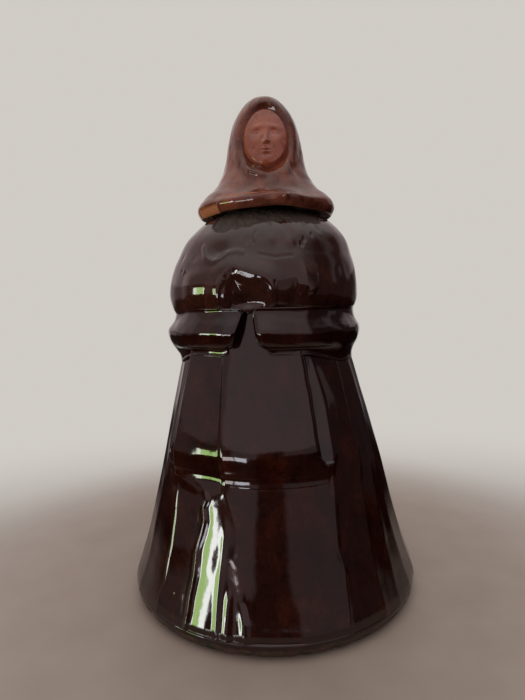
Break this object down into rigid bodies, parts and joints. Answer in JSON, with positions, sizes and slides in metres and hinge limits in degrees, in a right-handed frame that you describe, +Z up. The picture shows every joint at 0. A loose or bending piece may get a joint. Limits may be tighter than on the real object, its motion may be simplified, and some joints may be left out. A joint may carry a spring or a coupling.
{
  "type": "figural bottle",
  "caption": "Glazed ceramic figural bottle: a hooded head on a cork sleeve stops the neck of a robed body with domed cape, sleeves, apron, turned-in hem and a skirt pressed in folds.",
  "frame": {"origin": "middle of the foot, in the plane that the bottle stands on", "axes": "+Z up, -Y towards the figure's front and face, +X to the viewer's right"},
  "size_m": [0.1317, 0.1319, 0.2225],
  "materials": {
    "body_glaze": "glossy treacle-brown glaze over red clay",
    "head_glaze": "glossy, thinner and redder glaze",
    "bare_clay": "matte red clay",
    "cork": "cut cork"
  },
  "bodies": {
    "bottle": {"base": "bare_clay", "skirt": "body_glaze", "apron": "body_glaze", "hem": "body_glaze", "left_sleeve": "body_glaze", "right_sleeve": "body_glaze", "cape": "body_glaze", "neck": "body_glaze"},
    "cork": {"cork": "cork"},
    "head": {"hood": "head_glaze", "face": "head_glaze", "peg": "bare_clay"}
  },
  "joints": [
    {"name": "stopper_lift", "type": "slide", "parent": "bottle", "child": "cork", "axis": [0, 0, 1], "range_m": [0, 0.05]},
    {"name": "stopper_turn", "type": "hinge", "parent": "cork", "child": "head", "pos_m": [0, 0, 0.16], "axis": [0, 0, 1], "continuous": true}
  ]
}
